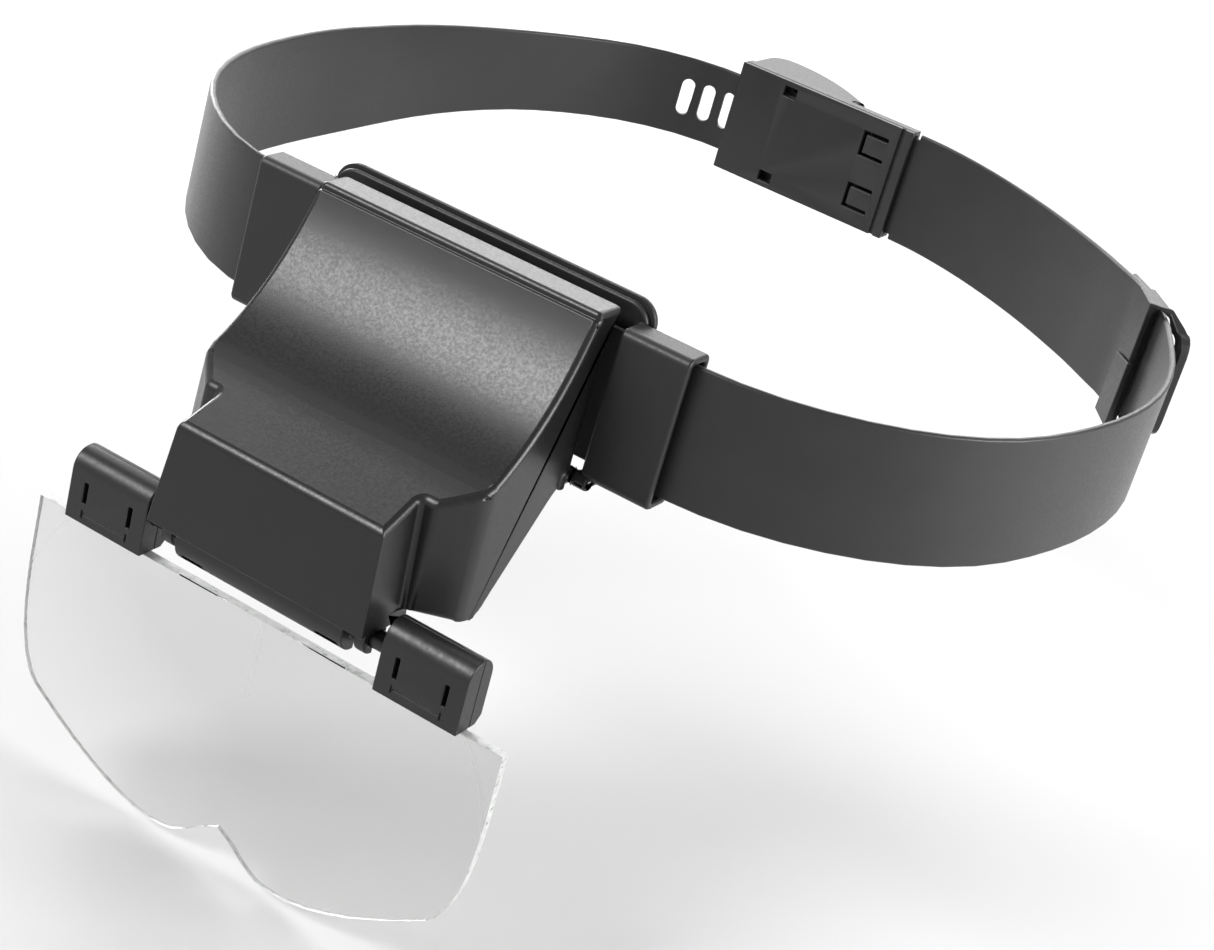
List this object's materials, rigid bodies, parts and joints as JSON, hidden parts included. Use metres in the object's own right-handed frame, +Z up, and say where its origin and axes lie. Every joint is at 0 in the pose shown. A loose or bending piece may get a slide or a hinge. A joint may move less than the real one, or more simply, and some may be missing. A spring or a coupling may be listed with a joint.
{
  "type": "head visor magnifier",
  "caption": "Head-worn magnifier: adjustable plastic headband, tilting dark hood, and a clear binocular lens plate that flips up on a rod under the hood's nose.",
  "frame": {"origin": "middle of the pad face that rests on the forehead, at the band's mid-height", "axes": "+X to the wearer's left, +Y from the face towards the back of the head, +Z up"},
  "size_m": [0.2049, 0.2606, 0.1203],
  "materials": {
    "hood_plastic": "satin, fine grain",
    "frame_plastic": "matt, fine grain",
    "band_plastic": "matt",
    "clip_plastic": "matt, spark-eroded texture",
    "pad_rubber": "matt soft",
    "steel": "plain",
    "clear_acrylic": "polished, clear"
  },
  "bodies": {
    "headband": {"forehead_frame": "frame_plastic", "forehead_pad": "pad_rubber", "hood_pin_left": "steel", "hood_pin_right": "steel", "front_strap": "band_plastic", "rear_strap": "band_plastic", "slider": "frame_plastic", "buckle_plate": "frame_plastic", "buckle_cover": "frame_plastic", "lever_pin": "steel", "lever_spring": "steel"},
    "hood": {"hood": "hood_plastic", "hinge_saddle": "hood_plastic", "saddle_screw_left": "steel", "saddle_screw_right": "steel"},
    "lens": {"hinge_rod": "hood_plastic", "lens_plate": "clear_acrylic", "clip_front_left": "clip_plastic", "clip_back_left": "clip_plastic", "clip_screw_left": "steel", "clip_front_right": "clip_plastic", "clip_back_right": "clip_plastic", "clip_screw_right": "steel"},
    "lever": {"buckle_lever": "frame_plastic"}
  },
  "joints": [
    {"name": "hood_tilt", "type": "hinge", "parent": "headband", "child": "hood", "pos_m": [0, -0.0098, -0.0156], "axis": [-1, 0, 0], "range_deg": [-12, 4]},
    {"name": "lens_flip", "type": "hinge", "parent": "hood", "child": "lens", "pos_m": [0, -0.0496, -0.0412], "axis": [-1, 0, 0], "range_deg": [-8, 115]},
    {"name": "lever_lift", "type": "hinge", "parent": "headband", "child": "lever", "pos_m": [-0.0156, 0.1907, 0], "axis": [0, 0, -1], "range_deg": [0, 18], "stiffness_Nm_per_rad": 0.05, "springref_deg": -8.59}
  ]
}
